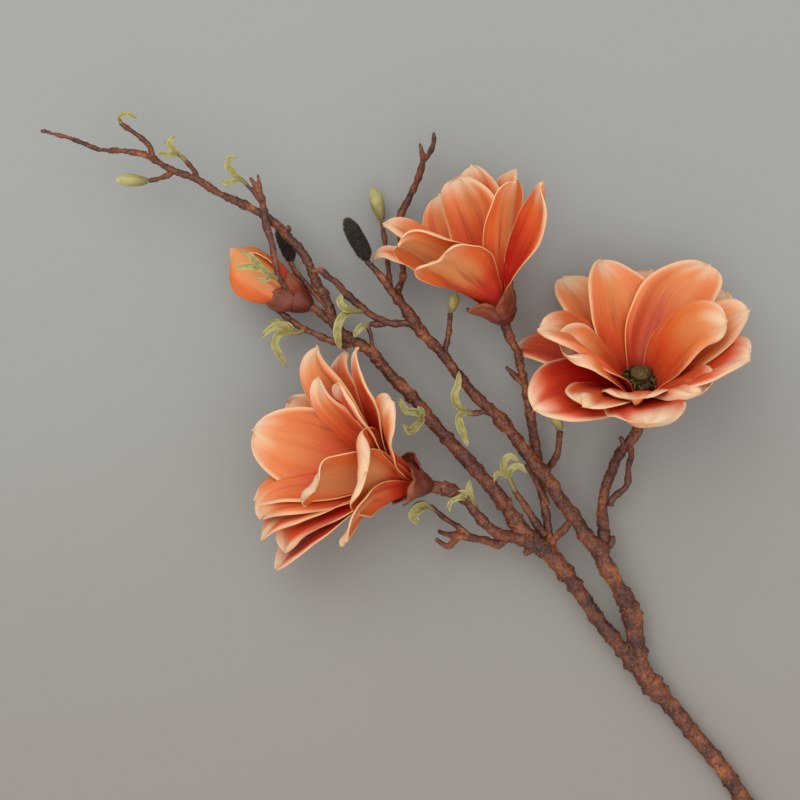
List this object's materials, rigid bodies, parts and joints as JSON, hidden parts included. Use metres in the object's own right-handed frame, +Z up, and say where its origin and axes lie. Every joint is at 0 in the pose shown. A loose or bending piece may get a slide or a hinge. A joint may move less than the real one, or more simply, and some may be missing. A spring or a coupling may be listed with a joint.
{
  "type": "cut magnolia branch",
  "caption": "Cut branch of saucer magnolia lying on its back, with open blooms, a closed bloom, leaf buds, catkins and sprigs of young leaves.",
  "frame": {"origin": "bottom centre of the bounding box, on the surface that the branch lies on", "axes": "+Z up from the surface, +X from the twig tips towards the cut end, +Y towards the upper blooms"},
  "size_m": [0.4995, 0.4972, 0.1201],
  "materials": {
    "bark": "rough knobbly bark with glossy specks",
    "petal": "soft satin",
    "calyx": "smooth satin",
    "centre": "waxy",
    "catkin": "fuzzy matte",
    "leaf": "waxy satin"
  },
  "bodies": {
    "root": {"wood": "bark", "petals_left": "petal", "calyx_left": "calyx", "centre_left": "centre", "petals_top": "petal", "calyx_top": "calyx", "centre_top": "centre", "petals_right": "petal", "calyx_right": "calyx", "centre_right": "centre", "petals_bud": "petal", "calyx_bud": "calyx", "bud_tip": "leaf", "bud_top": "leaf", "bud_middle": "leaf", "bud_right": "leaf", "catkin_low": "catkin", "catkin_high": "catkin", "sprig_tip": "leaf", "sprig_far": "leaf", "sprig_high": "leaf", "sprig_bud": "leaf", "sprig_under": "leaf", "sprig_across": "leaf", "sprig_middle": "leaf", "sprig_left": "leaf", "sprig_limb": "leaf", "sprig_low": "leaf", "sprig_stalk": "leaf", "sprig_below": "leaf"}
  },
  "joints": []
}
